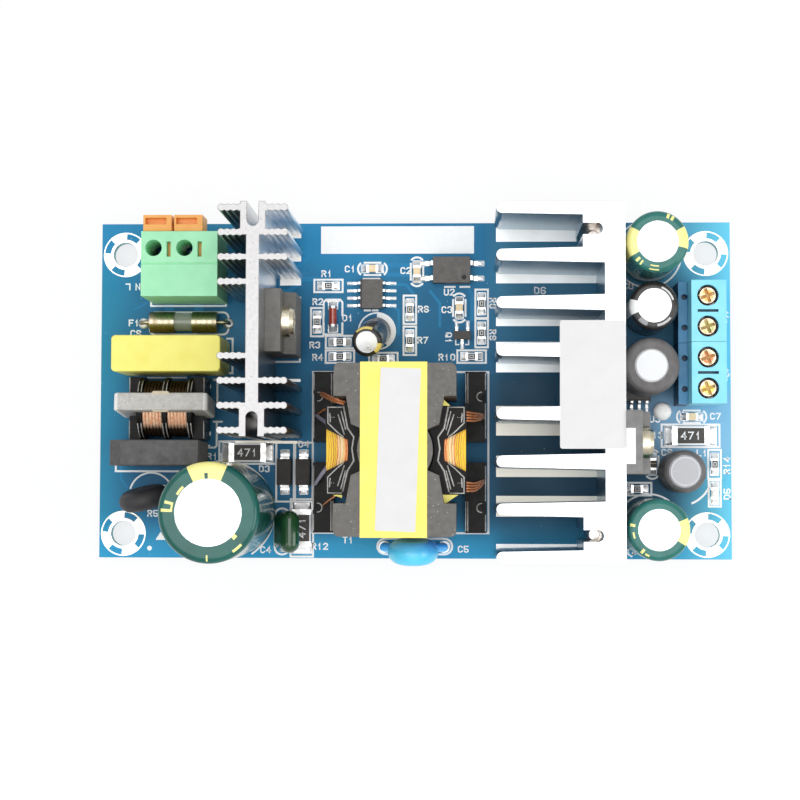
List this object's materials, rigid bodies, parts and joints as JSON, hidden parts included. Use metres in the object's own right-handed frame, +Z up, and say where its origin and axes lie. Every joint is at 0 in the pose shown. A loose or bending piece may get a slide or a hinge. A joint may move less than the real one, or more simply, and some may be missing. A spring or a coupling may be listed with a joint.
{
  "type": "power supply module",
  "caption": "Open-frame AC-DC power supply board with a push-button spring input terminal, fuse, choke, transformer, finned heatsinks, capacitors and screw output terminals.",
  "frame": {"origin": "centre of the four mounting holes, on the board's underside", "axes": "+X along the board from the mains input to the output, +Y towards the edge with the input buttons, +Z up from the board to the component side"},
  "size_m": [0.107, 0.0588, 0.0301],
  "materials": {
    "board_blue": "blue solder mask over glass-epoxy board",
    "terminal_green": "moulded, satin",
    "button_orange": "moulded, satin",
    "tinned_metal": "tinned",
    "clear_glass": "clear",
    "nickel": "bright nickel plate",
    "box_yellow": "moulded, glossy",
    "ferrite_light": "ground ferrite",
    "ferrite_dark": "pressed ferrite, speckled",
    "bobbin_black": "glossy moulding",
    "copper_wire": "enamelled copper",
    "epoxy_black": "moulded epoxy",
    "disc_black": "dipped coating",
    "can_aluminium": "bright drawn",
    "sleeve_green": "shrunk sleeve with a light sector",
    "sleeve_black": "shrunk sleeve",
    "heatsink_aluminium": "extruded, sawn ends",
    "plated_screw": "yellow zinc plate",
    "tape_yellow": "polyester tape",
    "disc_blue": "dipped coating",
    "dipped_green": "dipped coating",
    "bead_red": "red glass bead",
    "chip_black": "glazed ceramic",
    "chip_tan": "ceramic",
    "led_white": "white base with a clear lens",
    "shrink_grey": "shrunk tube",
    "terminal_blue": "moulded, satin",
    "brass_screw": "yellow plated",
    "solder": "bright solder"
  },
  "bodies": {
    "board": {"pcb": "board_blue", "input_terminal_housing": "terminal_green", "input_terminal_contacts": "tinned_metal", "input_terminal_springs": "tinned_metal", "fuse_glass": "clear_glass", "fuse_caps": "nickel", "fuse_element": "tinned_metal", "mains_capacitor": "box_yellow", "choke_core": "ferrite_light", "choke_bobbin": "bobbin_black", "choke_windings": "copper_wire", "bridge_rectifier": "epoxy_black", "thermistor": "disc_black", "bulk_capacitor_can": "can_aluminium", "bulk_capacitor_sleeve": "sleeve_green", "primary_heatsink": "heatsink_aluminium", "heatsink_pins": "tinned_metal", "switch_transistor": "epoxy_black", "output_rectifier": "epoxy_black", "transistor_leads": "tinned_metal", "heatsink_screws": "plated_screw", "transformer_core": "ferrite_dark", "transformer_bobbin": "bobbin_black", "transformer_winding": "copper_wire", "transformer_tape": "tape_yellow", "transformer_pins": "tinned_metal", "transformer_leadouts": "copper_wire", "safety_capacitor": "disc_blue", "film_capacitor": "dipped_green", "component_leads": "tinned_metal", "sop_chips": "epoxy_black", "optocoupler": "epoxy_black", "voltage_reference": "epoxy_black", "surface_leads": "tinned_metal", "glass_diode": "bead_red", "chip_resistors": "chip_black", "chip_capacitors": "chip_tan", "chip_terminations": "tinned_metal", "power_diodes": "epoxy_black", "indicator_led": "led_white", "secondary_heatsink": "heatsink_aluminium", "capacitor_cans": "can_aluminium", "green_sleeves": "sleeve_green", "black_sleeves": "sleeve_black", "inductor_cores": "ferrite_light", "inductor_sleeves": "shrink_grey", "output_terminal_north": "terminal_blue", "output_terminal_south": "terminal_blue", "output_terminal_contacts": "tinned_metal", "solder_joints": "solder"},
    "button_west": {"input_button_west": "button_orange"},
    "button_east": {"input_button_east": "button_orange"},
    "screw_1": {"terminal_screw_1": "brass_screw"},
    "screw_2": {"terminal_screw_2": "brass_screw"},
    "screw_3": {"terminal_screw_3": "brass_screw"},
    "screw_4": {"terminal_screw_4": "brass_screw"},
    "cage_1": {"clamp_cage_1": "nickel"},
    "cage_2": {"clamp_cage_2": "nickel"},
    "cage_3": {"clamp_cage_3": "nickel"},
    "cage_4": {"clamp_cage_4": "nickel"}
  },
  "joints": [
    {"name": "button_west_press", "type": "slide", "parent": "board", "child": "button_west", "axis": [0, -1, 0], "range_m": [0, 0.001], "stiffness_N_per_m": 1500},
    {"name": "button_east_press", "type": "slide", "parent": "board", "child": "button_east", "axis": [0, -1, 0], "range_m": [0, 0.001], "stiffness_N_per_m": 1500},
    {"name": "screw_1_turn", "type": "hinge", "parent": "board", "child": "screw_1", "pos_m": [0.0484, 0.00041, 0.01], "axis": [0, 0, -1], "range_deg": [0, 1440]},
    {"name": "screw_2_turn", "type": "hinge", "parent": "board", "child": "screw_2", "pos_m": [0.0484, 0.00549, 0.01], "axis": [0, 0, -1], "range_deg": [0, 1440]},
    {"name": "screw_3_turn", "type": "hinge", "parent": "board", "child": "screw_3", "pos_m": [0.0484, 0.01057, 0.01], "axis": [0, 0, -1], "range_deg": [0, 1440]},
    {"name": "screw_4_turn", "type": "hinge", "parent": "board", "child": "screw_4", "pos_m": [0.0484, 0.01565, 0.01], "axis": [0, 0, -1], "range_deg": [0, 1440]},
    {"name": "cage_1_lift", "type": "slide", "parent": "board", "child": "cage_1", "axis": [0, 0, 1], "range_m": [0, 0.002]},
    {"name": "cage_2_lift", "type": "slide", "parent": "board", "child": "cage_2", "axis": [0, 0, 1], "range_m": [0, 0.002]},
    {"name": "cage_3_lift", "type": "slide", "parent": "board", "child": "cage_3", "axis": [0, 0, 1], "range_m": [0, 0.002]},
    {"name": "cage_4_lift", "type": "slide", "parent": "board", "child": "cage_4", "axis": [0, 0, 1], "range_m": [0, 0.002]}
  ],
  "couplings": [
    {"joint": "screw_1_turn", "follows": "cage_1_lift", "rad_per_m": 12566},
    {"joint": "screw_2_turn", "follows": "cage_2_lift", "rad_per_m": 12566},
    {"joint": "screw_3_turn", "follows": "cage_3_lift", "rad_per_m": 12566},
    {"joint": "screw_4_turn", "follows": "cage_4_lift", "rad_per_m": 12566}
  ]
}
